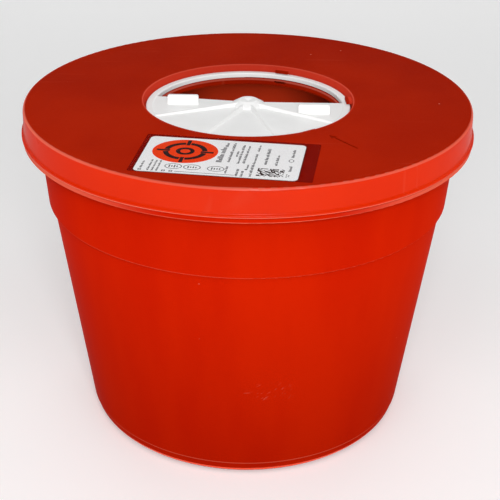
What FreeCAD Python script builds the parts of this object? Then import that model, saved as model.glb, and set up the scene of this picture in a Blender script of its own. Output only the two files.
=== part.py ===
"""Round eight quart sharps container: a tapered tub, a press-on lid and a turning half-moon closure.

Frame: millimetres, +Z up, origin at the centre of the base on the surface it stands on.
-Y is the front, the side of the lid that carries the label.
"""
import FreeCAD
import Part
import math
import os

V = FreeCAD.Vector
UP = V(0, 0, 1)
ORIGIN = V(0, 0, 0)
SAME_POINT = 1e-6               # points closer than this are one point

# Driving dimensions, in millimetres and degrees.
HEIGHT = 210.0                  # base to lid top
LID_R = 137.0                   # skirt radius just under the lid's top edge
WALL = 2.2                      # nominal moulded wall
CONE_FOOT_R = 102.2             # tub cone radius, carried down to the base
CONE_TOP_R = 122.6              # tub cone radius under the shoulder
SHOULDER_Z = HEIGHT - 59.8      # underside of the collar's shoulder
SHOULDER_R = 125.0              # collar radius at the shoulder
COLLAR_TOP_R = 128.4            # collar radius under the flange
WELL_R = 64.6                   # opening in the lid's top
ROTOR_R = 62.9                  # rotor ring radius
ROTOR_TOP_Z = HEIGHT - 4.0      # top of the rotor's ring
ROTOR_TURN = -4.7               # the rotor rests this far round from square, as does the floor under it
GAP = 0.3                       # between pieces that move apart
SUNK = 0.5                      # raised details start this far inside the surface they stand on
OVERCUT = 1.0                   # cutters run this far past the faces they cut
FINE_ROUND = 0.3                # roundings of moulded corners, from nearly sharp to soft
SMALL_ROUND = 0.4
MEDIUM_ROUND = 0.7
SOFT_ROUND = 1.0

# Tub.
BASE_UNDERCUT = 1.2             # the base's middle is lifted this far off the floor
FOOT_INNER_R = 84.0
FOOT_SLOPE = 2.0                # the foot ring's inner side slopes over this width
BASE_EDGE_ROUND = 9.0
HEEL_Z = 10.0                   # small moulded heel above the rounded base edge
HEEL_STEP = 0.7
FLOOR_THICK = 2.4
FLANGE_LOW_Z = HEIGHT - 19.8
FLANGE_TOP_Z = HEIGHT - 17.1
FLANGE_R = 138.0
RIM_R = 132.6                   # upright rim inside the lid's skirt
RIM_TOP_Z = HEIGHT - 2.6
BEAD_Z = HEIGHT - 7.0           # snap bead round the rim
BEAD_OUT = 1.0
BEAD_LEAD = 1.5                 # the bead's upper side is this many times as long as its lower side

# Lid.
TOP_THICK = 2.3
EDGE_ROUND = 2.0
SKIRT_LOW_Z = FLANGE_TOP_Z + 0.4
SKIRT_LOW_R = 137.4
LIP_R = 138.7
LIP_THICK = 1.5
SKIRT_LEAD = 0.5                # the skirt's mouth is this much wider than its bore
SNAP_Z = HEIGHT - 11.6          # inward snap ridge of the skirt
SNAP_HALF = 1.2
PLUG_R = 129.9                  # ring that plugs the rim from inside
PLUG_LOW_Z = HEIGHT - 8.0
PLUG_THICK = 1.6
PLUG_DRAFT = 0.3
LEDGE_Z = HEIGHT - 7.3          # ledge that carries the rotor's ring
LEDGE_THICK = 2.0
WELL_FOOT_R = 63.9
LEDGE_R = 57.5                  # inner edge of the ledge
LEDGE_LIP_LOW_Z = HEIGHT - 11.2
LEDGE_LIP_DRAFT = 0.2
LID_FLOOR_THICK = 1.8           # half-moon floor, level with the ledge, under the rotor's closed sector
BOSS_R = 9.0
LUG_ANGLES = (69.0, 4.0, -54.3)
LUG_LENGTH = 8.6
LUG_REACH_R = 60.6
LUG_THICK = 1.8
LUG_SLOT_LENGTH = 7.6
LUG_SLOT_TOP_Z = LEDGE_Z - 0.7  # the slot is cut through the ledge's lip, seen from the opening
LUG_SLOT_LOW_Z = LEDGE_Z - 2.7
ARROW_ANGLE = -53.0
ARROW_START_R = 77.0
ARROW_LENGTH = 24.7
ARROW_HEAD = 5.0
ARROW_LINE = 1.3
ARROW_DEPTH = 0.5

# Rotor.
RING_WIDTH = 4.7
PLATE_TOP_Z = HEIGHT - 4.3
PLATE_THICK = 1.6
SECTOR_BEHIND = 4.0             # the closed sector's edge passes this far behind the pivot
SECTOR_SPLAY = 4.0              # and each half of it leans this much further back
RIB_FOOT_WIDTH = 3.8
RIB_TOP_WIDTH = 1.5
RIB_RISE_AT_HUB = 2.1
RIB_RISE_AT_RING = 1.0
RIB_ANGLES = (-63.0, -21.5, 21.5, 63.0)
HUB_FOOT_R = 10.3
HUB_TOP_R = 5.5
HUB_RISE = 3.2
HUB_DIMPLE_R = 2.6
HUB_DIMPLE_DEPTH = 1.2
HUB_ROUND = 1.2
RING_ROUND = 0.7
PIVOT_R = 5.0
PIVOT_CLEARANCE = 0.08
PIVOT_TIP = 1.0                 # chamfer on the pivot's lower end
TAB_WIDTH = 19.0
TAB_RISE = 5.7
TAB_THICK = 2.0
TAB_CORNER = 1.2
TAB_LEAN = 0.8                  # the tab's top leans this far back off its foot
TAB_TURN = 4.0                  # the tabs stand this far round from square to the rotor
TAB_CENTRES = ((-39.8, -5.3), (41.2, -13.4))

# Label.
LABEL_SIZE = (88.0, 50.0)
LABEL_CENTRE = (-14.1, -97.0)
LABEL_TURN = -8.0
LABEL_THICK = 0.2
LABEL_CORNER = 3.0
FILM_MARGIN_LEFT = 3.0
FILM_MARGIN_RIGHT = 8.0
FILM_MARGIN_BACK = 3.0
FILM_MARGIN_FRONT = 0.5
FILM_THICK = 0.2
FILM_CORNER = 1.0


def polar(radius, degrees):
    """Point at a radius and an angle about the container's axis, at the height of the base."""
    angle = math.radians(degrees)
    return V(radius * math.cos(angle), radius * math.sin(angle), 0)


def rounded_edges(corners):
    """Edges of a closed outline. A corner is (point, radius), and a radius of 0 leaves it sharp."""
    starts = []
    ends = []
    middles = []
    count = len(corners)
    for i in range(count):
        point, radius = corners[i]
        before = (corners[i - 1][0] - point).normalize()
        after = (corners[(i + 1) % count][0] - point).normalize()
        if radius <= 0:
            starts.append(point)
            ends.append(point)
            middles.append(None)
            continue
        half = before.getAngle(after) / 2
        reach = radius / math.tan(half)
        bisector = (before + after).normalize()
        starts.append(point + before * reach)
        ends.append(point + after * reach)
        middles.append(point + bisector * (radius / math.sin(half) - radius))
    edges = []
    for i in range(count):
        if middles[i] is not None:
            edges.append(Part.Arc(starts[i], middles[i], ends[i]).toShape())
        following = starts[(i + 1) % count]
        if ends[i].distanceToPoint(following) > SAME_POINT:
            edges.append(Part.LineSegment(ends[i], following).toShape())
    return edges


def outline_face(corners):
    """Flat face inside a closed outline of (point, radius) corners."""
    return Part.Face(Part.Wire(rounded_edges(corners)))


def revolved(corners):
    """Solid of revolution from corners given as (radius, z, rounding)."""
    outline = [(V(r, 0, z), rounding) for r, z, rounding in corners]
    return outline_face(outline).revolve(ORIGIN, UP, 360)


def cone_radius(z):
    """Outer radius of the tub's cone at a height."""
    return CONE_FOOT_R + (CONE_TOP_R - CONE_FOOT_R) * z / SHOULDER_Z


def closed_sector(radius, low, high):
    """Slab over a little more than the front half of a circle, with a shallow V along its back edge."""
    apex = V(0, SECTOR_BEHIND, low)
    ends = []
    for side in (-1, 1):
        lean = math.radians(SECTOR_SPLAY)
        run = V(side * math.cos(lean), math.sin(lean), 0)
        across = apex.x * run.x + apex.y * run.y
        reach = -across + math.sqrt(across ** 2 + radius ** 2 - SECTOR_BEHIND ** 2)
        ends.append(apex + run * reach)
    arc = Part.Arc(ends[0], V(0, -radius, low), ends[1]).toShape()
    sides = [Part.LineSegment(ends[1], apex).toShape(), Part.LineSegment(apex, ends[0]).toShape()]
    slab = Part.Face(Part.Wire([arc] + sides)).extrude(V(0, 0, high - low))
    slab.rotate(ORIGIN, UP, ROTOR_TURN)
    return slab


def block(length, width, low, high, centre, degrees):
    """Upright block whose length runs along an angle."""
    body = Part.makeBox(length, width, high - low, V(-length / 2, -width / 2, low))
    body.rotate(ORIGIN, UP, degrees)
    body.translate(V(centre.x, centre.y, 0))
    return body


def rounded_slab(x_range, y_range, low, high, corner):
    """Flat slab with four rounded upright corners."""
    corners = [
        (V(x_range[0], y_range[0], low), corner),
        (V(x_range[1], y_range[0], low), corner),
        (V(x_range[1], y_range[1], low), corner),
        (V(x_range[0], y_range[1], low), corner),
    ]
    return outline_face(corners).extrude(V(0, 0, high - low))


def make_tub():
    """Tapered tub with a foot ring, a heel, a shoulder step, a collar, a flange and an upright rim."""
    heel_r = cone_radius(HEEL_Z)
    floor_z = BASE_UNDERCUT + FLOOR_THICK
    rim_inner = RIM_R - WALL
    outside = [
        (0, BASE_UNDERCUT, 0),
        (FOOT_INNER_R - FOOT_SLOPE, BASE_UNDERCUT, SOFT_ROUND),
        (FOOT_INNER_R, 0, SOFT_ROUND),
        (CONE_FOOT_R - HEEL_STEP, 0, BASE_EDGE_ROUND),
        (heel_r - HEEL_STEP, HEEL_Z - HEEL_STEP, 0),
        (heel_r, HEEL_Z, FINE_ROUND),
        (CONE_TOP_R, SHOULDER_Z, MEDIUM_ROUND),
        (SHOULDER_R, SHOULDER_Z, SOFT_ROUND),
        (COLLAR_TOP_R, FLANGE_LOW_Z, SOFT_ROUND),
        (FLANGE_R, FLANGE_LOW_Z, SMALL_ROUND),
        (FLANGE_R, FLANGE_TOP_Z, SMALL_ROUND),
        (RIM_R, FLANGE_TOP_Z, SMALL_ROUND),
    ]
    bead = [
        (RIM_R, BEAD_Z - BEAD_OUT, 0),
        (RIM_R + BEAD_OUT, BEAD_Z, SMALL_ROUND),
        (RIM_R, BEAD_Z + BEAD_OUT * BEAD_LEAD, 0),
        (RIM_R, RIM_TOP_Z, MEDIUM_ROUND),
    ]
    inside = [
        (rim_inner, RIM_TOP_Z, MEDIUM_ROUND),
        (rim_inner, FLANGE_TOP_Z, SMALL_ROUND),
        (COLLAR_TOP_R - WALL, FLANGE_TOP_Z, MEDIUM_ROUND),
        (SHOULDER_R - WALL, SHOULDER_Z + WALL, MEDIUM_ROUND),
        (CONE_TOP_R - WALL, SHOULDER_Z + WALL, MEDIUM_ROUND),
        (cone_radius(floor_z) - WALL, floor_z, BASE_EDGE_ROUND - WALL),
        (0, floor_z, 0),
    ]
    return revolved(outside + bead + inside)


def make_lid_shell():
    """Flat top, skirt with a flared lip and a snap ridge, plug ring and the round well with its ledge."""
    under_z = HEIGHT - TOP_THICK
    skirt_inner = LID_R - WALL
    ridge_r = RIM_R + BEAD_OUT + GAP
    ledge_low = LEDGE_Z - LEDGE_THICK
    top_and_skirt = [
        (WELL_R, HEIGHT, MEDIUM_ROUND),
        (LID_R, HEIGHT, EDGE_ROUND),
        (SKIRT_LOW_R, SKIRT_LOW_Z + LIP_THICK, SOFT_ROUND),
        (LIP_R, SKIRT_LOW_Z + LIP_THICK, SMALL_ROUND),
        (LIP_R, SKIRT_LOW_Z, SMALL_ROUND),
        (skirt_inner + SKIRT_LEAD, SKIRT_LOW_Z, SMALL_ROUND),
        (skirt_inner, SNAP_Z - SNAP_HALF, 0),
        (ridge_r, SNAP_Z, SMALL_ROUND),
        (skirt_inner, SNAP_Z + SNAP_HALF, 0),
        (skirt_inner, under_z, SOFT_ROUND),
    ]
    plug_and_well = [
        (PLUG_R, under_z, MEDIUM_ROUND),
        (PLUG_R, PLUG_LOW_Z, SMALL_ROUND),
        (PLUG_R - PLUG_THICK, PLUG_LOW_Z, SMALL_ROUND),
        (PLUG_R - PLUG_THICK - PLUG_DRAFT, under_z, MEDIUM_ROUND),
        (WELL_R + WALL, under_z, SOFT_ROUND),
        (WELL_FOOT_R + WALL, ledge_low, SOFT_ROUND),
        (LEDGE_R + WALL, ledge_low, MEDIUM_ROUND),
        (LEDGE_R + WALL - LEDGE_LIP_DRAFT, LEDGE_LIP_LOW_Z, SMALL_ROUND),
        (LEDGE_R, LEDGE_LIP_LOW_Z, SMALL_ROUND),
        (LEDGE_R, LEDGE_Z, FINE_ROUND),
        (WELL_FOOT_R, LEDGE_Z, FINE_ROUND),
    ]
    return revolved(top_and_skirt + plug_and_well)


def make_lid_floor():
    """Half-moon floor under the rotor's closed sector, with the boss that the rotor turns in."""
    low = LEDGE_Z - LID_FLOOR_THICK
    boss_height = LEDGE_Z - LEDGE_LIP_LOW_Z
    floor = closed_sector(LEDGE_R + SUNK, low, LEDGE_Z)
    boss = Part.makeCylinder(BOSS_R, boss_height, V(0, 0, LEDGE_LIP_LOW_Z))
    hole_low = V(0, 0, LEDGE_LIP_LOW_Z - OVERCUT)
    hole = Part.makeCylinder(PIVOT_R + PIVOT_CLEARANCE, boss_height + 2 * OVERCUT, hole_low)
    return floor.fuse(boss).cut(hole)


def make_lugs():
    """Lugs that hold the rotor's ring down. Each has a core slot through the ledge under it."""
    low = ROTOR_TOP_Z + GAP
    outer = WELL_R + 2 * SUNK
    reach = outer - LUG_REACH_R
    bound = Part.makeCylinder(outer, LUG_THICK, V(0, 0, low))
    slot_reach = WELL_FOOT_R - LEDGE_R
    lugs = []
    slots = []
    for angle in LUG_ANGLES:
        lug = block(reach, LUG_LENGTH, low, low + LUG_THICK, polar(LUG_REACH_R + reach / 2, angle), angle)
        lugs.append(lug.common(bound))
        slot_centre = polar(LEDGE_R - OVERCUT + slot_reach / 2, angle)
        slot = block(slot_reach, LUG_SLOT_LENGTH, LUG_SLOT_LOW_Z, LUG_SLOT_TOP_Z, slot_centre, angle)
        slots.append(slot)
    return lugs, slots


def make_arrow():
    """Cutter for the index arrow engraved in the lid's top, which points at the well."""
    low = HEIGHT - ARROW_DEPTH
    tip = ARROW_START_R
    corners = [
        V(tip, 0, low),
        V(tip + ARROW_HEAD, -ARROW_HEAD / 2, low),
        V(tip + ARROW_HEAD, -ARROW_LINE / 2, low),
        V(tip + ARROW_LENGTH, -ARROW_LINE / 2, low),
        V(tip + ARROW_LENGTH, ARROW_LINE / 2, low),
        V(tip + ARROW_HEAD, ARROW_LINE / 2, low),
        V(tip + ARROW_HEAD, ARROW_HEAD / 2, low),
    ]
    cutter = outline_face([(corner, 0) for corner in corners]).extrude(UP * OVERCUT)
    cutter.rotate(ORIGIN, UP, ARROW_ANGLE)
    return cutter


def make_lid():
    """The whole lid moulding: shell, well floor and lugs, with the core slots and the arrow cut out."""
    lugs, slots = make_lugs()
    body = make_lid_shell().fuse([make_lid_floor()] + lugs)
    return body.cut(slots + [make_arrow()]).removeSplitter()


def rib_section(distance, rise):
    """Upright trapezium across a rib, at a distance out from the hub's centre."""
    low = PLATE_TOP_Z - SUNK
    high = PLATE_TOP_Z + rise
    foot = RIB_FOOT_WIDTH / 2
    top = RIB_TOP_WIDTH / 2
    corners = [V(distance, -foot, low), V(distance, foot, low), V(distance, top, high), V(distance, -top, high)]
    return Part.makePolygon(corners + corners[:1])


def make_rotor_rib(angle):
    """Rib with sloping sides that falls from the hub's side to the ring."""
    hub_end = rib_section(HUB_TOP_R, RIB_RISE_AT_HUB)
    ring_end = rib_section(ROTOR_R - RING_WIDTH / 2, RIB_RISE_AT_RING)
    rib = Part.makeLoft([hub_end, ring_end], True, True)
    rib.rotate(ORIGIN, UP, angle - 90)
    return rib


def make_tab(centre):
    """Upright finger tab that turns the rotor. Its top corners are rounded and it leans a little."""
    low = PLATE_TOP_Z - SUNK
    high = PLATE_TOP_Z + TAB_RISE
    half = TAB_WIDTH / 2
    corners = [
        (V(-half, 0, low), 0),
        (V(half, 0, low), 0),
        (V(half, TAB_LEAN, high), TAB_CORNER),
        (V(-half, TAB_LEAN, high), TAB_CORNER),
    ]
    tab = outline_face(corners).extrude(V(0, TAB_THICK, 0))
    tab.rotate(ORIGIN, UP, TAB_TURN)
    tab.translate(V(centre[0], centre[1], 0))
    return tab


def make_hub():
    """Domed hub over a plain pivot that runs down through the lid's boss."""
    plate_low = PLATE_TOP_Z - PLATE_THICK
    dome_top = PLATE_TOP_Z + HUB_RISE
    return revolved([
        (0, LEDGE_LIP_LOW_Z - PIVOT_TIP, 0),
        (PIVOT_R - PIVOT_TIP, LEDGE_LIP_LOW_Z - PIVOT_TIP, 0),
        (PIVOT_R, LEDGE_LIP_LOW_Z, 0),
        (PIVOT_R, plate_low, 0),
        (HUB_FOOT_R, plate_low, SMALL_ROUND),
        (HUB_FOOT_R, PLATE_TOP_Z + SMALL_ROUND, SMALL_ROUND),
        (HUB_TOP_R, dome_top, HUB_ROUND),
        (HUB_DIMPLE_R, dome_top, SMALL_ROUND),
        (0, dome_top - HUB_DIMPLE_DEPTH, 0),
    ])


def make_rotor():
    """Ring with a closed sector nearly flush with its top, ribs, domed hub and two finger tabs."""
    ring_low = LEDGE_Z + GAP
    inner = ROTOR_R - RING_WIDTH
    ring = revolved([
        (inner, ring_low, SMALL_ROUND),
        (ROTOR_R, ring_low, SMALL_ROUND),
        (ROTOR_R, ROTOR_TOP_Z, RING_ROUND),
        (inner, ROTOR_TOP_Z, RING_ROUND),
    ])
    raised = [make_rotor_rib(angle) for angle in RIB_ANGLES]
    raised += [make_tab(centre) for centre in TAB_CENTRES]
    for piece in raised:
        piece.rotate(ORIGIN, UP, ROTOR_TURN)
    plate = closed_sector(ROTOR_R - 2 * SUNK, PLATE_TOP_Z - PLATE_THICK, PLATE_TOP_Z)
    return ring.fuse([plate, make_hub()] + raised).removeSplitter()


def place_label(shape):
    """Turn a label layer and move it to its place on the lid."""
    shape.rotate(ORIGIN, UP, LABEL_TURN)
    shape.translate(V(LABEL_CENTRE[0], LABEL_CENTRE[1], 0))
    return shape


def make_label_stock():
    """White printed label."""
    half_x = LABEL_SIZE[0] / 2
    half_y = LABEL_SIZE[1] / 2
    top = HEIGHT + LABEL_THICK
    return place_label(rounded_slab((-half_x, half_x), (-half_y, half_y), HEIGHT, top, LABEL_CORNER))


def make_label_film(label_stock):
    """Clear film over the label, stuck to the lid all round it."""
    x_range = (-LABEL_SIZE[0] / 2 - FILM_MARGIN_LEFT, LABEL_SIZE[0] / 2 + FILM_MARGIN_RIGHT)
    y_range = (-LABEL_SIZE[1] / 2 - FILM_MARGIN_FRONT, LABEL_SIZE[1] / 2 + FILM_MARGIN_BACK)
    top = HEIGHT + LABEL_THICK + FILM_THICK
    film = place_label(rounded_slab(x_range, y_range, HEIGHT, top, FILM_CORNER))
    return film.cut(label_stock)


def main():
    os.makedirs("parts", exist_ok=True)
    label_stock = make_label_stock()
    nodes = {
        "tub": make_tub(),
        "lid": make_lid(),
        "rotor": make_rotor(),
        "label_stock": label_stock,
        "label_film": make_label_film(label_stock),
    }
    for name, shape in nodes.items():
        solids = shape.Solids
        print(name, "solids", len(solids), "valid", shape.isValid(), "volume", round(shape.Volume, 1))
        if len(solids) == 1:
            shape = solids[0]
        shape.exportStep("parts/" + name + ".step")


main()
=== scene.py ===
import math
import random

import bpy
import bmesh
from mathutils import Matrix, Vector


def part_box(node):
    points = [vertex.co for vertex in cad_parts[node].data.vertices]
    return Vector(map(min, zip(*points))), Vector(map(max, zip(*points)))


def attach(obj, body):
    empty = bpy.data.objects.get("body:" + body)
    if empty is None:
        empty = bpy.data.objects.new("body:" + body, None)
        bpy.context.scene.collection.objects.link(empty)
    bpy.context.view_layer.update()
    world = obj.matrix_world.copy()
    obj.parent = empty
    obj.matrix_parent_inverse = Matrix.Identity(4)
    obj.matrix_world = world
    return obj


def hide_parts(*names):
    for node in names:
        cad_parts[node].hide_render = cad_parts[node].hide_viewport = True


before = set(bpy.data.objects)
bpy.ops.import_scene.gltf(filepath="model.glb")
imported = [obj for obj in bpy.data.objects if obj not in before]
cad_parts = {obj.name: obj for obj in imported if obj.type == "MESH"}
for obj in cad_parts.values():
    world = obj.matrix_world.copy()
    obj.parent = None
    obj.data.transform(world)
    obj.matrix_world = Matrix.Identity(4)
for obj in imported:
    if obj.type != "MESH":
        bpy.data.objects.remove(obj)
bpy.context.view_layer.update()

MM = 0.001

# Lid. TOP_Z is its flat top, and heights further down are measured from it.
TOP_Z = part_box("lid")[1].z
LIP_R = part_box("lid")[1].x              # the skirt's flared lip
LIP_LOW_Z = TOP_Z - 16.7 * MM
TOP_EDGE_R = LIP_R - 2.3 * MM           # where the top rounds over into the skirt
TOP_EDGE_Z = TOP_Z - 1.4 * MM
SATIN_R = 121 * MM                      # the lid is satin inside this radius, down to any depth
SATIN_Z = TOP_Z - 0.425 * MM            # and above this height outside it
WELL_R = 64.6 * MM
WELL_WALL_R = WELL_R - 0.8 * MM
WELL_WALL_Z = TOP_Z - 4.0 * MM          # half way down the well's wall
LEDGE_R = 57.5 * MM
LEDGE_Z = TOP_Z - 7.8 * MM
ARROW_R = 93 * MM                       # middle of the engraved arrow
ARROW_Z = TOP_Z - 0.2 * MM              # half way down into it

# Tub.
FLANGE_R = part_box("tub")[1].x
FLANGE_LOW_Z = TOP_Z - 19.8 * MM
FLANGE_TOP_Z = TOP_Z - 17.1 * MM
SHOULDER_Z = TOP_Z - 59.8 * MM          # the step between the cone and the collar
SHOULDER_R = 123.5 * MM
HEEL_Z = 10 * MM
CONE_FOOT_R = 102.2 * MM                # outer radius of the cone at the base and at the shoulder
CONE_TOP_R = 122.6 * MM
STEP_OUT = 2.4 * MM                     # how far the shoulder and then the collar widen
COLLAR_SPREAD = 3.4 * MM
RIM_OUT = 4.2 * MM                      # how far the rim above the flange stands out from the collar
HALF_WALL = 1.1 * MM
FLOOR_Z = 3.2 * MM
SCRATCH_X = 2 * MM                      # middle of a patch of fine scratches low on the tub's front
SCRATCH_Z = 67 * MM

# Label. Its length, width and corner are in millimetres.
LABEL_LOW, LABEL_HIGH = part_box("label_stock")
LABEL_CENTRE = (LABEL_LOW + LABEL_HIGH) / 2
LABEL_TURN = math.radians(-8.0)
LABEL_X = 88.0
LABEL_Y = 50.0
LABEL_CORNER = 3.0
LABEL_FRAME = Matrix.Translation((LABEL_CENTRE.x, LABEL_CENTRE.y, 0)) @ Matrix.Rotation(LABEL_TURN, 4, "Z")

# Camera, in metres, degrees and millimetres of lens.
CAMERA_PLACE = (0.0, -0.6969, 0.4603)
CAMERA_YAW = 0.183
CAMERA_PITCH = 27.044
CAMERA_ROLL = 0.688
CAMERA_LENS = 85.88


# ---------------------------------------------------------------- node helpers

class Graph:
    """A material's node tree, with short calls for the nodes used here."""

    def __init__(self, name):
        self.material = bpy.data.materials.new(name)
        self.material.use_nodes = True
        self.tree = self.material.node_tree
        self.shader = self.tree.nodes["Principled BSDF"]
        self.coords = self.tree.nodes.new("ShaderNodeTexCoord").outputs["Object"]

    def put(self, socket, value):
        if isinstance(value, bpy.types.NodeSocket):
            self.tree.links.new(value, socket)
        else:
            socket.default_value = value

    def node(self, kind, inputs=None, **settings):
        made = self.tree.nodes.new("ShaderNode" + kind)
        for key, value in settings.items():
            setattr(made, key, value)
        for key, value in (inputs or {}).items():
            self.put(made.inputs[key], value)
        return made

    def math(self, operation, a, b=0.0):
        return self.node("Math", {0: a, 1: b}, operation=operation).outputs[0]

    def product(self, *values):
        """Masks and shares multiplied together."""
        total = values[0]
        for value in values[1:]:
            total = self.math("MULTIPLY", total, value)
        return total

    def largest(self, *values):
        """The strongest of several masks at each point."""
        total = values[0]
        for value in values[1:]:
            total = self.math("MAXIMUM", total, value)
        return total

    def noise(self, scale, detail=3.0, roughness=0.5, coords=None):
        inputs = {"Vector": coords or self.coords, "Scale": scale, "Detail": detail, "Roughness": roughness}
        return self.node("TexNoise", inputs).outputs["Fac"]

    def stretched_noise(self, scale, detail, roughness, turn=(0, 0, 0)):
        """Noise with its own scale along each axis."""
        coords = self.node("Mapping", {"Vector": self.coords, "Scale": scale, "Rotation": turn}).outputs[0]
        return self.noise(1.0, detail, roughness, coords)

    def remap(self, value, from_low, from_high, to_low=0.0, to_high=1.0, smooth=True):
        inputs = {"Value": value, "From Min": from_low, "From Max": from_high,
                  "To Min": to_low, "To Max": to_high}
        kind = "SMOOTHSTEP" if smooth else "LINEAR"
        return self.node("MapRange", inputs, interpolation_type=kind).outputs[0]

    def spread(self, noise, low=0.0, high=1.0):
        """Noise spread over a range, which the middle of 0 to 1 fills, since noise seldom leaves it."""
        return self.remap(noise, 0.3, 0.7, low, high)

    def mix(self, share, a, b):
        made = self.node("Mix", data_type="RGBA")
        for index, value in ((0, share), (6, a), (7, b)):
            self.put(made.inputs[index], value)
        return made.outputs[2]

    def blend(self, share, a, b):
        made = self.node("Mix", data_type="FLOAT")
        for index, value in ((0, share), (2, a), (3, b)):
            self.put(made.inputs[index], value)
        return made.outputs[0]

    def axes(self, coords=None):
        return self.node("SeparateXYZ", {0: coords or self.coords}).outputs[:3]

    def radius(self):
        """Distance from the container's axis."""
        flat = self.node("VectorMath", {0: self.coords, 1: (1.0, 1.0, 0.0)}, operation="MULTIPLY")
        return self.node("VectorMath", {0: flat.outputs["Vector"]}, operation="LENGTH").outputs["Value"]

    def band(self, value, middle, half):
        """1 where a value is within half of a middle, falling smoothly to 0 at twice that."""
        away = self.math("ABSOLUTE", self.math("SUBTRACT", value, middle))
        return self.remap(away, half, 2 * half, 1.0, 0.0)

    def step(self, value, edge, width, low=0.0, high=1.0):
        """A smooth step from low to high, half way up at an edge."""
        return self.remap(value, edge - width / 2, edge + width / 2, low, high)

    def bump(self, height, distance, strength=0.5, normal=None):
        inputs = {"Height": height, "Distance": distance, "Strength": strength}
        if normal is not None:
            inputs["Normal"] = normal
        return self.node("Bump", inputs).outputs[0]

    def specks(self, scale, size, share):
        """Small round marks scattered over a share of a grid's cells."""
        cells = self.node("TexVoronoi", {"Vector": self.coords, "Scale": scale, "Randomness": 1.0})
        mark = self.remap(cells.outputs["Distance"], size * 0.6, size, 1.0, 0.0)
        chosen = self.node("SeparateColor", {0: cells.outputs["Color"]}).outputs[0]
        return self.product(mark, self.math("LESS_THAN", chosen, share))

    def scuffs(self, turns, scale):
        """Fine rubbed lines that run a few ways, thin and broken up into patches."""
        lines = []
        for turn in turns:
            noise = self.stretched_noise((scale * 0.02, scale, scale * 0.05), 2.0, 0.5, (0, 0, turn))
            lines.append(self.remap(noise, 0.66, 0.72))
        patches = self.remap(self.noise(22.0), 0.5, 0.62)
        return self.product(self.largest(*lines), patches)

    def finish(self, colour, roughness, normal=None, **constants):
        self.put(self.shader.inputs["Base Color"], colour)
        self.put(self.shader.inputs["Roughness"], roughness)
        if normal is not None:
            self.put(self.shader.inputs["Normal"], normal)
        for key, value in constants.items():
            self.put(self.shader.inputs[key.replace("_", " ")], value)
        return self.material


def rgb(r, g, b):
    return (r, g, b, 1.0)


# ---------------------------------------------------------------- materials

# Base colours, linear. A pair is mixed by noise.
LID_SATIN = rgb(0.285, 0.0075, 0.0003), rgb(0.345, 0.0115, 0.0005)
LID_GRAIN = rgb(0.43, 0.018, 0.0012)
LID_GLOSS = rgb(0.63, 0.024, 0.001), rgb(0.59, 0.019, 0.0008)
# Painted shade for the engraved arrow's groove.
LID_GROOVE_SHADE = rgb(0.05, 0.001, 0.0001)
LID_SCUFF = rgb(0.62, 0.12, 0.07)
# Pale edge colour: rubbing on the lid's edges, and painted highlight on the lip and the top's rounded edge.
LID_RUBBED_AND_HIGHLIGHT = rgb(0.80, 0.24, 0.16)
# Painted highlight: pale pink on the ledge under the rotor.
LEDGE_HIGHLIGHT = rgb(0.85, 0.25, 0.18)
# Painted light: the well's wall is paler and pinker than the satin around it.
WELL_WALL_PAINTED_LIGHT = rgb(0.70, 0.055, 0.028)
DUST = rgb(0.75, 0.50, 0.42)
TUB_OUTSIDE = rgb(0.50, 0.0100, 0.0005), rgb(0.55, 0.014, 0.0006)
# Painted light: the tub's inner faces are a much paler red than the outside.
TUB_INSIDE_PAINTED_LIGHT = rgb(0.95, 0.08, 0.02)
TUB_SCUFF = rgb(0.72, 0.20, 0.13)
# Pale edge colour, partly rubbing and partly painted highlight and sheen.
TUB_RUBBED_AND_HIGHLIGHT = rgb(0.80, 0.20, 0.12)
BLACK = rgb(0.0, 0.0, 0.0)
WHITE = rgb(1.0, 1.0, 1.0)
ROTOR_WHITE = rgb(0.92, 0.92, 0.91), rgb(0.95, 0.95, 0.945)
GRIME = rgb(0.55, 0.53, 0.50)
PAPER = rgb(0.85, 0.845, 0.85), rgb(0.90, 0.895, 0.905)
FILM_ON_LID = rgb(0.29, 0.002, 0.0001)
# Painted shadow: the dark line on the film along the label's edge.
FILM_EDGE_SHADE = rgb(0.06, 0.001, 0.0001)
BLACK_INK = rgb(0.014, 0.005, 0.005), rgb(0.035, 0.012, 0.011)
ORANGE_INK = rgb(0.84, 0.040, 0.0005), rgb(0.90, 0.052, 0.001)
GREY_INK = rgb(0.06, 0.06, 0.065), rgb(0.17, 0.17, 0.18)
FLOOR_WHITE = rgb(0.86, 0.86, 0.86)

FLOOR_GLOW = 0.20                       # a little light of the floor's own, which keeps it pale


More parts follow.
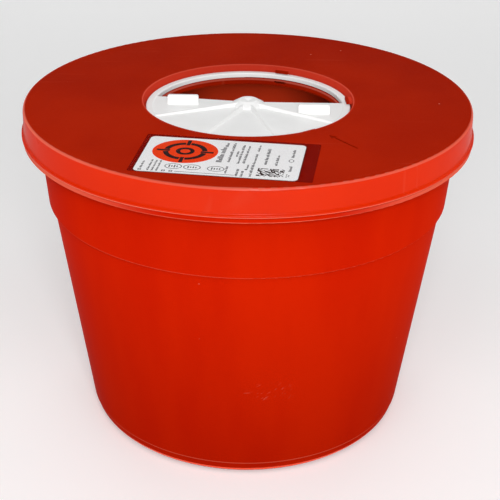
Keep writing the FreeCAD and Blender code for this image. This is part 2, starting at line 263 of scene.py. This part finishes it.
def lid_plastic():
    """Satin red on top and in the well, smoother and brighter on the skirt. Pale along its edges, partly
    rubbed and partly painted highlight, with painted light on the ledge and the well's wall and painted shade
    in the arrow's groove.
    """
    g = Graph("lid_satin_red")
    z = g.axes()[2]
    reach = g.radius()
    mottle = g.noise(14.0, 4.0, 0.55)
    grain = g.noise(1500.0, 2.0, 0.6)
    fine = g.noise(420.0, 3.0, 0.6)

    flat_top = g.step(z, SATIN_Z, 0.55 * MM)
    top = g.largest(flat_top, g.step(reach, SATIN_R, 6 * MM, 1.0, 0.0))
    satin = g.mix(g.spread(mottle), *LID_SATIN)
    satin = g.mix(g.remap(grain, 0.35, 0.7, 0.0, 0.35), satin, LID_GRAIN)
    gloss = g.mix(g.spread(mottle), *LID_GLOSS)
    colour = g.mix(top, gloss, satin)

    # Painted shade: the engraved arrow's groove is darkened.
    arrow_groove_shade = g.product(g.band(reach, ARROW_R, 12 * MM), g.step(z, ARROW_Z, 0.2 * MM, 0.4, 0.0))
    colour = g.mix(arrow_groove_shade, colour, LID_GROOVE_SHADE)
    worn = g.scuffs((0.4, 1.3, 2.2), 420.0)
    colour = g.mix(g.product(worn, 0.10), colour, LID_SCUFF)

    # The lip's pale band is partly rubbing and partly painted highlight.
    lip_wear_and_highlight = g.product(g.band(reach, LIP_R, 0.5 * MM), g.band(z, LIP_LOW_Z, 0.35 * MM))
    lip_wear_and_highlight = g.product(lip_wear_and_highlight, g.spread(mottle, 0.4, 0.7))
    well_edge = g.product(g.band(reach, WELL_R, 0.35 * MM), g.remap(z, TOP_Z - MM, TOP_Z, 0.0, 0.3))
    # Painted highlight: a pale band along the top's rounded edge.
    top_edge_highlight = g.product(g.band(reach, TOP_EDGE_R, 0.4 * MM), g.step(z, TOP_EDGE_Z, 0.4 * MM))
    top_edge_highlight = g.product(top_edge_highlight, g.spread(mottle, 0.25, 0.45))
    colour = g.mix(g.largest(lip_wear_and_highlight, well_edge, top_edge_highlight), colour, LID_RUBBED_AND_HIGHLIGHT)
    # Painted highlight: a pale pink band on the ledge under the rotor.
    ledge_highlight = g.product(g.band(reach, LEDGE_R, 0.25 * MM), g.band(z, LEDGE_Z, 0.4 * MM), 0.3)
    colour = g.mix(ledge_highlight, colour, LEDGE_HIGHLIGHT)
    # Painted light: the well's wall is made paler and pinker, as if lit.
    well_wall_light = g.product(g.band(reach, WELL_WALL_R, MM), g.band(z, WELL_WALL_Z, 3 * MM), 0.6)
    colour = g.mix(well_wall_light, colour, WELL_WALL_PAINTED_LIGHT)
    dust = g.product(g.specks(95.0, 0.055, 0.16), flat_top, 0.7)
    colour = g.mix(dust, colour, DUST)

    rough = g.blend(top, g.spread(mottle, 0.22, 0.30), g.spread(fine, 0.46, 0.56))
    rough = g.math("ADD", rough, g.product(worn, 0.12))
    normal = g.bump(g.product(grain, top), 0.05 * MM, 0.6)
    normal = g.bump(g.noise(34.0, 2.0), 0.12 * MM, normal=normal)
    g.put(g.shader.inputs["Coat Weight"], g.remap(top, 0.0, 1.0, 0.18, 0.0))
    return g.finish(colour, rough, normal, Specular_IOR_Level=0.003, Coat_Roughness=0.25,
                    Diffuse_Roughness=0.8)


def inside_of_tub(g, reach, z):
    """1 on the tub's inner faces: more than half a wall in from the outer face, and above the base."""
    outer = g.remap(z, 0.0, SHOULDER_Z, CONE_FOOT_R, CONE_TOP_R, smooth=False)
    widenings = (
        g.step(z, SHOULDER_Z + 2.5 * MM, MM, 0.0, STEP_OUT),
        g.remap(z, SHOULDER_Z, FLANGE_LOW_Z, 0.0, COLLAR_SPREAD, smooth=False),
        g.step(z, FLANGE_TOP_Z - 0.25 * MM, 0.3 * MM, 0.0, RIM_OUT),
    )
    for more in widenings:
        outer = g.math("ADD", outer, more)
    depth = g.math("SUBTRACT", outer, reach)
    return g.product(g.step(depth, HALF_WALL, 0.4 * MM), g.step(z, FLOOR_Z, 0.4 * MM))


def tub_plastic():
    """Red moulded plastic with painted shade towards the foot, a patch of scratches, pale edges that are
    partly rubbed and partly painted highlight and sheen, and painted light inside.
    """
    g = Graph("tub_gloss_red")
    x, y, z = g.axes()
    reach = g.radius()
    flow = g.stretched_noise((26.0, 26.0, 5.0), 3.0, 0.5)
    colour = g.mix(g.spread(flow), *TUB_OUTSIDE)
    # Painted shade: the outside colour darkens towards the foot.
    foot_shade = g.remap(z, 0.0, 150 * MM, 0.70, 1.0, smooth=False)
    colour = g.mix(foot_shade, BLACK, colour)

    patch = g.product(g.band(x, SCRATCH_X, 24 * MM), g.band(z, SCRATCH_Z, 4.5 * MM))
    patch = g.product(patch, g.math("LESS_THAN", y, 0.0))
    scratches = g.product(g.scuffs((0.2, 1.1, 2.6), 5000.0), patch, 0.8)
    foot = g.remap(z, MM, 6 * MM, 0.6, 0.0)
    rubbed = g.product(g.remap(g.noise(120.0, 4.0, 0.65), 0.48, 0.62), foot)
    marks = g.largest(scratches, g.specks(75.0, 0.05, 0.10), rubbed)
    colour = g.mix(g.product(marks, 0.25), colour, TUB_SCUFF)

    # The flange's lower edge is pale partly from rubbing and partly from painted highlight.
    flange_edge_wear_and_highlight = g.product(g.band(reach, FLANGE_R, 0.4 * MM), g.band(z, FLANGE_LOW_Z, 0.35 * MM))
    flange_edge_wear_and_highlight = g.product(flange_edge_wear_and_highlight, g.spread(flow, 0.3, 0.6))
    heel = g.product(g.band(z, HEEL_Z, 0.35 * MM), 0.25)
    # Painted sheen: the flange's outer face is paler towards the left and right sides.
    side_sheen = g.remap(g.math("ABSOLUTE", x), 40 * MM, 115 * MM, 0.0, 0.5)
    flange_face_sheen = g.product(g.step(reach, FLANGE_R - 0.5 * MM, 0.6 * MM), side_sheen)
    # Painted highlight: a pale line along the shoulder's edge.
    shoulder_highlight = g.product(g.band(z, SHOULDER_Z, 0.5 * MM), g.step(reach, SHOULDER_R, MM, 0.0, 0.2))
    # Pale edges, partly rubbed and partly painted highlight and sheen.
    rubbed_and_highlit_edges = g.largest(flange_edge_wear_and_highlight, heel, flange_face_sheen, shoulder_highlight)
    colour = g.mix(rubbed_and_highlit_edges, colour, TUB_RUBBED_AND_HIGHLIGHT)
    inside = inside_of_tub(g, reach, z)
    # Painted light: the inner faces get a paler red, as if lit.
    colour = g.mix(g.product(inside, 0.9), colour, TUB_INSIDE_PAINTED_LIGHT)

    rough = g.math("ADD", g.spread(flow, 0.38, 0.46), g.product(marks, 0.18))
    normal = g.bump(g.noise(650.0, 2.0), 0.012 * MM)
    normal = g.bump(g.stretched_noise((30.0, 30.0, 12.0), 2.0, 0.4), 0.10 * MM, normal=normal)
    g.put(g.shader.inputs["Coat Weight"], g.product(inside, 0.4))
    return g.finish(colour, rough, normal, Specular_IOR_Level=0.001, Coat_Roughness=0.15,
                    Diffuse_Roughness=0.8)


def rotor_plastic():
    """White moulded plastic with a trace of grime."""
    g = Graph("rotor_white")
    flow = g.noise(40.0, 4.0, 0.55)
    colour = g.mix(g.spread(flow), *ROTOR_WHITE)
    grime = g.product(g.remap(g.noise(160.0, 5.0, 0.7), 0.55, 0.75), 0.10)
    colour = g.mix(grime, colour, GRIME)
    normal = g.bump(g.noise(900.0, 2.0), 0.015 * MM)
    normal = g.bump(g.noise(60.0, 2.0), 0.06 * MM, normal=normal)
    return g.finish(colour, g.spread(flow, 0.34, 0.44), normal, Specular_IOR_Level=0.5)


def label_paper():
    g = Graph("label_paper")
    fibre = g.stretched_noise((900.0, 380.0, 900.0), 4.0, 0.6, (0, 0, 0.3))
    colour = g.mix(g.spread(fibre), *PAPER)
    return g.finish(colour, g.spread(g.noise(220.0), 0.55, 0.68), g.bump(fibre, 0.02 * MM))


def label_local(g):
    """Object coordinates turned into the label's own frame, in metres."""
    back = (-LABEL_CENTRE.x, -LABEL_CENTRE.y, 0)
    shift = g.node("VectorMath", {0: g.coords, 1: back}, operation="ADD").outputs[0]
    return g.node("Mapping", {"Vector": shift, "Rotation": (0, 0, -LABEL_TURN)}).outputs[0]


def film_plastic():
    """Clear over the label. Stuck on the lid it turns the red deeper, with a painted shadow along the label's
    edge.
    """
    g = Graph("label_film_clear")
    x, y = g.axes(label_local(g))[:2]
    past = []
    for value, length in ((x, LABEL_X), (y, LABEL_Y)):
        beyond = g.math("SUBTRACT", g.math("ABSOLUTE", value), (length / 2 - LABEL_CORNER) * MM)
        past.append(g.math("POWER", g.largest(beyond, 0.0), 2.0))
    out = g.math("SQRT", g.math("ADD", *past))
    over = g.step(out, (LABEL_CORNER + 0.1) * MM, 0.4 * MM, 1.0, 0.0)
    # Painted shadow: a dark line on the film just past the label's edge.
    border = g.band(out, (LABEL_CORNER + 0.35) * MM, 0.25 * MM)
    wet = g.noise(90.0, 4.0, 0.6)
    colour = g.mix(border, FILM_ON_LID, FILM_EDGE_SHADE)
    alpha = g.blend(over, g.spread(wet, 0.36, 0.44), 0.006)
    rough = g.spread(g.noise(300.0), 0.18, 0.28)
    return g.finish(colour, rough, g.bump(wet, 0.05 * MM), Alpha=alpha, Specular_IOR_Level=0.01)


def ink(name, colour, faded):
    g = Graph(name)
    density = g.remap(g.noise(1400.0, 3.0, 0.6), 0.35, 0.75)
    rough = g.spread(g.noise(500.0, 2.0), 0.42, 0.55)
    return g.finish(g.mix(density, colour, faded), rough, g.bump(density, 0.01 * MM, 0.4),
                    Specular_IOR_Level=0.02)


def floor_paint():
    g = Graph("studio_floor")
    return g.finish(FLOOR_WHITE, 0.9, Specular_IOR_Level=0.0, Emission_Color=WHITE,
                    Emission_Strength=FLOOR_GLOW)


# ---------------------------------------------------------------- mesh helpers

def mesh_piece(name, bm, material, smooth=False):
    data = bpy.data.meshes.new(name)
    bmesh.ops.recalc_face_normals(bm, faces=bm.faces)
    bm.to_mesh(data)
    bm.free()
    for polygon in data.polygons:
        polygon.use_smooth = smooth
    data.materials.append(material)
    made = bpy.data.objects.new(name, data)
    bpy.context.scene.collection.objects.link(made)
    return made


def slab(bm, outline, high, hole=None):
    """Closed slab on the label, from an outline in label millimetres. A hole's outline has as many points."""
    def ring(points, z):
        return [bm.verts.new(LABEL_FRAME @ Vector((px * MM, py * MM, z))) for px, py in points]
    outer_low, outer_high = ring(outline, PRINT_LOW), ring(outline, high)
    count = len(outline)
    if hole is None:
        bm.faces.new(outer_high)
        bm.faces.new(list(reversed(outer_low)))
    else:
        inner_low, inner_high = ring(hole, PRINT_LOW), ring(hole, high)
    for i in range(count):
        j = (i + 1) % count
        bm.faces.new((outer_low[i], outer_low[j], outer_high[j], outer_high[i]))
        if hole is not None:
            bm.faces.new((inner_low[j], inner_low[i], inner_high[i], inner_high[j]))
            bm.faces.new((outer_high[i], outer_high[j], inner_high[j], inner_high[i]))
            bm.faces.new((outer_low[j], outer_low[i], inner_low[i], inner_low[j]))


def ellipse(cx, cy, rx, ry, count=48, start=0.0, end=360.0):
    closed = abs(end - start) >= 360
    steps = count if closed else count - 1
    points = []
    for i in range(count):
        angle = math.radians(start + (end - start) * i / steps)
        points.append((cx + rx * math.cos(angle), cy + ry * math.sin(angle)))
    return points


def rectangle(cx, cy, width, height):
    half_w, half_h = width / 2, height / 2
    corners = ((-half_w, -half_h), (half_w, -half_h), (half_w, half_h), (-half_w, half_h))
    return [(cx + dx, cy + dy) for dx, dy in corners]


def arc_band(cx, cy, inner, outer, start, end, count=20):
    far = ellipse(cx, cy, outer, outer, count, start, end)
    near = ellipse(cx, cy, inner, inner, count, start, end)
    return far + list(reversed(near))


# ---------------------------------------------------------------- label print

PRINT_LOW = LABEL_HIGH.z
PRINT_TOP = PRINT_LOW + 0.04 * MM
OVERPRINT_TOP = PRINT_LOW + 0.06 * MM   # ink printed over other ink

# The print's layout, in label millimetres from the label's middle.
DISC = (-21.2, 5.8, 18.2, 16.7)         # centre and half sizes
MOTIF_RING = (9.3, 12.2)                # inner and outer radius of the broken ring
MOTIF_EYE = (2.8, 5.2)
MOTIF_TICK = (7.2, 2.1)                 # length and width of its four ticks
MOTIF_GAP = 8                           # degrees left open on each side of a tick
# Columns of marks: place along the label, lower and upper end, height and pitch of a mark.
COLUMNS = (
    (-40.6, -20.5, -11.5, 1.2, 0.6),
    (-36.4, -23.4, -9.0, 1.3, 0.65),
    (-34.0, -23.4, -9.0, 1.3, 0.65),
    (-31.6, -23.4, -9.0, 1.3, 0.65),
    (-0.7, -6.5, 14.5, 3.1, 1.45),
    (0.4, 16.0, 21.0, 1.7, 0.9),
    (4.4, -5.6, 21.0, 1.6, 0.8),
    (7.6, 2.6, 9.6, 1.5, 0.75),
    (9.8, -6.6, 20.0, 1.5, 0.75),
    (12.8, -6.0, 18.6, 1.5, 0.75),
    (11.2, -23.6, -14.4, 1.3, 0.65),
    (14.0, -23.6, -16.4, 1.3, 0.65),
    (15.6, -12.6, -7.0, 1.3, 0.65),
    (18.4, -23.0, 8.0, 1.5, 0.75),
    (18.6, 12.0, 20.4, 1.3, 0.65),
    (5.0, -21.0, -12.0, 1.2, 0.6),
    (24.4, -5.8, 16.6, 1.9, 0.8),
    (30.4, -6.4, 8.2, 1.5, 0.8),
    (38.2, 6.0, 17.0, 1.5, 0.8),
    (38.6, -13.0, -6.4, 1.7, 0.9),
)
PRINT_SEED = 11
WORD_MARKS = (3, 8)                     # fewest and most marks in a word-like group
MARK_LENGTHS = (0.55, 1.0)              # shortest and longest mark, as shares of the pitch
MARK_HEIGHTS = (0.62, 0.7, 1.0)         # as shares of the column's height
MARK_GAP, WORD_GAP = 0.38, 0.8          # as shares of the pitch
PICTOGRAMS_X = (-23.6, -13.4, -0.6)
PICTOGRAM_Y = -15.8
PICTOGRAM_RX, PICTOGRAM_RY = 4.7, 3.5
PICTOGRAM_LINE = 0.45
PICTOGRAM_BARS = 4
BAR_PITCH, BAR_WIDTH = 1.4, 0.7
BAR_LENGTHS = (1.4, 3.4)                # shortest and longest bar
SMALL_RING = (38.0, 1.6, 1.5, 2.1)      # centre and half sizes
SMALL_RING_LINE = 0.4
DOT = (15.4, -14.0, 0.8, 0.8)
SQUARES = ((-27.8, -22.4, 1.9), (-23.8, -22.4, 1.9), (-40.6, -22.6, 1.8))   # centre and side
RULE = (-5.8, -22.6, 32.0, 0.4)         # centre, length and width of the long line
BLOCK_X, BLOCK_Y = 21.6, -21.4          # lower left corner of the block of squares
BLOCK_COLUMNS, BLOCK_ROWS, BLOCK_CELL = 18, 13, 0.80
BLOCK_INKED = 0.52                      # share of its cells that are inked
CELL_FILL = 0.94                        # how much of its cell an inked square covers
DASHES_X, DASHES_Y = 37.6, -20.6        # two short columns of dashes beside the block
DASH_COUNT = 5
DASH_STEP_X, DASH_STEP_Y = 1.2, 0.8
DASH_LENGTH, DASH_WIDTH = 0.7, 0.6


def text_column(bm, rng, u, v_low, v_high, height, pitch):
    """A line of made-up marks that runs up the label, broken into word-like groups."""
    v = v_low
    left_in_word = rng.randint(*WORD_MARKS)
    while v < v_high:
        length = pitch * rng.uniform(*MARK_LENGTHS)
        tall = height * rng.choice(MARK_HEIGHTS)
        slab(bm, rectangle(u + (height - tall) / 2, v + length / 2, tall, length), PRINT_TOP)
        v += length + pitch * MARK_GAP
        left_in_word -= 1
        if left_in_word == 0:
            v += pitch * WORD_GAP
            left_in_word = rng.randint(*WORD_MARKS)


def make_disc(black_ink, orange_ink):
    """An orange disc with a plain target on it: a broken ring, four ticks and an eye."""
    bm = bmesh.new()
    slab(bm, ellipse(*DISC, 96), PRINT_TOP)
    disc = mesh_piece("label_disc", bm, orange_ink)

    bm = bmesh.new()
    cx, cy = DISC[:2]
    for quarter in range(4):
        start = quarter * 90 + MOTIF_GAP
        slab(bm, arc_band(cx, cy, *MOTIF_RING, start, start + 90 - 2 * MOTIF_GAP), OVERPRINT_TOP)
        angle = math.radians(quarter * 90)
        tick_x = cx + MOTIF_RING[1] * math.cos(angle)
        tick_y = cy + MOTIF_RING[1] * math.sin(angle)
        length, width = MOTIF_TICK if quarter % 2 == 0 else reversed(MOTIF_TICK)
        slab(bm, rectangle(tick_x, tick_y, length, width), OVERPRINT_TOP)
    hole, rim = (ellipse(cx, cy, radius, radius) for radius in MOTIF_EYE)
    slab(bm, rim, OVERPRINT_TOP, hole)
    return [disc, mesh_piece("label_motif", bm, black_ink)]


def make_marks(rng, grey_ink):
    """Three rings with bars in them, a small ring, a dot, three open squares and a long line."""
    bm = bmesh.new()
    line = PICTOGRAM_LINE
    for cx in PICTOGRAMS_X:
        outer = ellipse(cx, PICTOGRAM_Y, PICTOGRAM_RX, PICTOGRAM_RY, 40)
        inner = ellipse(cx, PICTOGRAM_Y, PICTOGRAM_RX - line, PICTOGRAM_RY - line, 40)
        slab(bm, outer, PRINT_TOP, inner)
        for bar in range(PICTOGRAM_BARS):
            bar_x = cx + BAR_PITCH * (bar - (PICTOGRAM_BARS - 1) / 2)
            slab(bm, rectangle(bar_x, PICTOGRAM_Y, BAR_WIDTH, rng.uniform(*BAR_LENGTHS)), PRINT_TOP)
    cx, cy, rx, ry = SMALL_RING
    hole = ellipse(cx, cy, rx - SMALL_RING_LINE, ry - SMALL_RING_LINE, 32)
    slab(bm, ellipse(*SMALL_RING, 32), PRINT_TOP, hole)
    slab(bm, ellipse(*DOT, 24), PRINT_TOP)
    for cx, cy, side in SQUARES:
        slab(bm, rectangle(cx, cy, side, side), PRINT_TOP, rectangle(cx, cy, side / 2, side / 2))
    slab(bm, rectangle(*RULE), PRINT_TOP)
    return mesh_piece("label_marks", bm, grey_ink)


def make_block(rng, black_ink):
    """A block of squares inked at random, with a few dashes beside it."""
    bm = bmesh.new()
    side = BLOCK_CELL * CELL_FILL
    for i in range(BLOCK_COLUMNS):
        for j in range(BLOCK_ROWS):
            if rng.random() < BLOCK_INKED:
                cell_x = BLOCK_X + (i + 0.5) * BLOCK_CELL
                cell_y = BLOCK_Y + (j + 0.5) * BLOCK_CELL
                slab(bm, rectangle(cell_x, cell_y, side, side), PRINT_TOP)
    for j in range(DASH_COUNT):
        dash_x, dash_y = DASHES_X + (j % 2) * DASH_STEP_X, DASHES_Y + j * DASH_STEP_Y
        slab(bm, rectangle(dash_x, dash_y, DASH_LENGTH, DASH_WIDTH), PRINT_TOP)
    return mesh_piece("label_block", bm, black_ink)


def make_print(black_ink, orange_ink, grey_ink):
    rng = random.Random(PRINT_SEED)
    pieces = make_disc(black_ink, orange_ink)
    bm = bmesh.new()
    for column in COLUMNS:
        text_column(bm, rng, *column)
    pieces.append(mesh_piece("label_text", bm, grey_ink))
    pieces.append(make_marks(rng, grey_ink))
    pieces.append(make_block(rng, black_ink))
    for piece in pieces:
        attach(piece, "lid")


# ---------------------------------------------------------------- label film

FILM_LEFT, FILM_RIGHT = 3.0, 8.0        # how far the film reaches past the label, in millimetres
FILM_FRONT, FILM_BACK = 0.5, 3.0
FILM_CORNER = 1.0
FILM_STEP = 0.6                         # width over which it steps down off the label
FILM_PITCH = 1.6                        # spacing of its grid
EDGE_IN, EDGE_OUT, EDGE_FAR = 0.05, 0.35, 0.7   # grid lines just inside the label's edge and past it
FRONT_OUT = 0.3                         # the one line past its front edge, where the film is narrow
# Height of each face of the film over the lid's top, in millimetres: over the label, and beside it.
FILM_UPPER = (0.375, 0.16)
FILM_LOWER = (0.30, 0.03)


def make_film(material):
    """Clear film over the label. It steps down off the label's edge onto the lid."""
    half_x, half_y = LABEL_X / 2, LABEL_Y / 2
    x0, x1 = -half_x - FILM_LEFT, half_x + FILM_RIGHT
    y0, y1 = -half_y - FILM_FRONT, half_y + FILM_BACK
    edge_x = [x0, -half_x - EDGE_FAR, -half_x - EDGE_OUT, -half_x + EDGE_IN,
              half_x - EDGE_IN, half_x + EDGE_OUT, half_x + EDGE_FAR, x1]
    edge_y = [y0, -half_y - FRONT_OUT, -half_y + EDGE_IN,
              half_y - EDGE_IN, half_y + EDGE_OUT, half_y + EDGE_FAR, y1]

    def filled(rubbed_and_highlit_edges):
        """The edges with even steps of about the grid's pitch between them."""
        out = []
        for a, b in zip(rubbed_and_highlit_edges, rubbed_and_highlit_edges[1:]):
            parts = max(1, round((b - a) / FILM_PITCH))
            out += [a + (b - a) * k / parts for k in range(parts)]
        return out + [rubbed_and_highlit_edges[-1]]

    def off_label(px, py):
        """0 over the label, rising smoothly to 1 beside it."""
        dx, dy = max(abs(px) - half_x, 0.0), max(abs(py) - half_y, 0.0)
        share = min(math.hypot(dx, dy) / FILM_STEP, 1.0)
        return share * share * (3 - 2 * share)

    def rounded(px, py):
        """A grid point pulled in where it lies in one of the film's corners."""
        dx = FILM_CORNER - min(px - x0, x1 - px)
        dy = FILM_CORNER - min(py - y0, y1 - py)
        if dx > 0 and dy > 0:
            pull = max(dx, dy) / math.hypot(dx, dy)
            px += math.copysign(dx * (1 - pull), -px)
            py += math.copysign(dy * (1 - pull), -py)
        return px, py

    xs, ys = filled(edge_x), filled(edge_y)
    last_i, last_j = len(xs) - 1, len(ys) - 1
    bm = bmesh.new()
    sheets = []
    for over, beside in (FILM_UPPER, FILM_LOWER):
        rows = []
        for py in ys:
            row = []
            for px in xs:
                share = off_label(px, py)
                height = over * (1 - share) + beside * share
                qx, qy = rounded(px, py)
                row.append(bm.verts.new(LABEL_FRAME @ Vector((qx * MM, qy * MM, TOP_Z + height * MM))))
            rows.append(row)
        sheets.append(rows)
    upper, lower = sheets
    for j in range(last_j):
        for i in range(last_i):
            bm.faces.new((upper[j][i], upper[j][i + 1], upper[j + 1][i + 1], upper[j + 1][i]))
            bm.faces.new((lower[j + 1][i], lower[j + 1][i + 1], lower[j][i + 1], lower[j][i]))
    border = [(i, 0) for i in range(last_i)] + [(last_i, j) for j in range(last_j)]
    border += [(i, last_j) for i in range(last_i, 0, -1)] + [(0, j) for j in range(last_j, 0, -1)]
    for k, (i, j) in enumerate(border):
        i2, j2 = border[(k + 1) % len(border)]
        bm.faces.new((upper[j][i], lower[j][i], lower[j2][i2], upper[j2][i2]))
    film = mesh_piece("label_film_sheet", bm, material)
    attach(film, "lid")
    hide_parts("label_film")


# ---------------------------------------------------------------- studio

FLOOR_FLAT = 3.0                        # metres from the middle to where the floor starts to curve up
FLOOR_BEND = 1.5
FLOOR_SIDES = 96
FLAT_RINGS = 6
BEND_STEPS = 12
FLOOR_DROP = 0.2 * MM                   # the floor lies this far under the base
SKY_STRENGTH = 0.13
# Lights: name, place, aim and size in metres, and watts.
LIGHTS = (
    ("key_front", (0.03, -0.84, 0.55), (0, 0, 0.14), (0.24, 0.20), 4.7),
    ("overhead", (0.0, -0.9, 1.35), (0, -0.1, 0.1), (1.2, 0.9), 8.2),
    ("floor_wash", (0.0, 2.2, 1.9), (0, 2.2, 0.0), (3.4, 1.4), 36.0),
)


def make_floor():
    """Pale floor that curves up all round, far outside the object."""
    profile = [(FLOOR_FLAT * k / FLAT_RINGS, 0.0) for k in range(1, FLAT_RINGS)]
    for k in range(BEND_STEPS + 1):
        angle = math.radians(90 * k / BEND_STEPS)
        profile.append((FLOOR_FLAT + FLOOR_BEND * math.sin(angle), FLOOR_BEND * (1 - math.cos(angle))))
    turns = [math.tau * i / FLOOR_SIDES for i in range(FLOOR_SIDES)]
    bm = bmesh.new()
    centre = bm.verts.new((0, 0, 0))
    rings = [[bm.verts.new((r * math.cos(turn), r * math.sin(turn), z)) for turn in turns]
             for r, z in profile]
    for i in range(FLOOR_SIDES):
        j = (i + 1) % FLOOR_SIDES
        bm.faces.new((centre, rings[0][i], rings[0][j]))
        for near, far in zip(rings, rings[1:]):
            bm.faces.new((near[i], far[i], far[j], near[j]))
    floor = mesh_piece("studio_floor", bm, floor_paint(), smooth=True)
    floor.location.z = -FLOOR_DROP


def area_light(name, place, aim, size, power):
    data = bpy.data.lights.new(name, "AREA")
    data.shape = "RECTANGLE"
    data.size, data.size_y = size
    data.energy = power
    lamp = bpy.data.objects.new(name, data)
    lamp.location = place
    lamp.rotation_euler = (Vector(aim) - Vector(place)).to_track_quat("-Z", "Y").to_euler()
    bpy.context.scene.collection.objects.link(lamp)


def make_studio():
    world = bpy.data.worlds.new("studio")
    world.use_nodes = True
    background = world.node_tree.nodes["Background"]
    background.inputs["Color"].default_value = WHITE
    background.inputs["Strength"].default_value = SKY_STRENGTH
    bpy.context.scene.world = world
    for light in LIGHTS:
        area_light(*light)


def make_camera():
    yaw, pitch, roll = (math.radians(a) for a in (CAMERA_YAW, CAMERA_PITCH, CAMERA_ROLL))
    forward = Vector((math.sin(yaw) * math.cos(pitch), math.cos(yaw) * math.cos(pitch), -math.sin(pitch)))
    right = Vector((math.cos(yaw), -math.sin(yaw), 0))
    up = right.cross(forward)
    tilt = Matrix.Rotation(-roll, 3, forward)
    data = bpy.data.cameras.new("camera")
    data.sensor_width = 36.0
    data.lens = CAMERA_LENS
    data.clip_start = 0.01
    camera = bpy.data.objects.new("camera", data)
    turn = Matrix((right, up, -forward)).transposed()
    camera.matrix_world = Matrix.Translation(CAMERA_PLACE) @ (tilt @ turn).to_4x4()
    bpy.context.scene.collection.objects.link(camera)
    bpy.context.scene.camera = camera


def dress(node, material):
    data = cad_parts[node].data
    data.materials.clear()
    data.materials.append(material)


def main():
    bpy.context.scene.view_settings.view_transform = "Standard"
    dress("tub", tub_plastic())
    dress("lid", lid_plastic())
    dress("rotor", rotor_plastic())
    dress("label_stock", label_paper())
    black = ink("ink_black", *BLACK_INK)
    orange = ink("ink_orange", *ORANGE_INK)
    grey = ink("ink_grey", *GREY_INK)
    make_print(black, orange, grey)
    make_film(film_plastic())
    make_floor()
    make_studio()
    make_camera()


main()
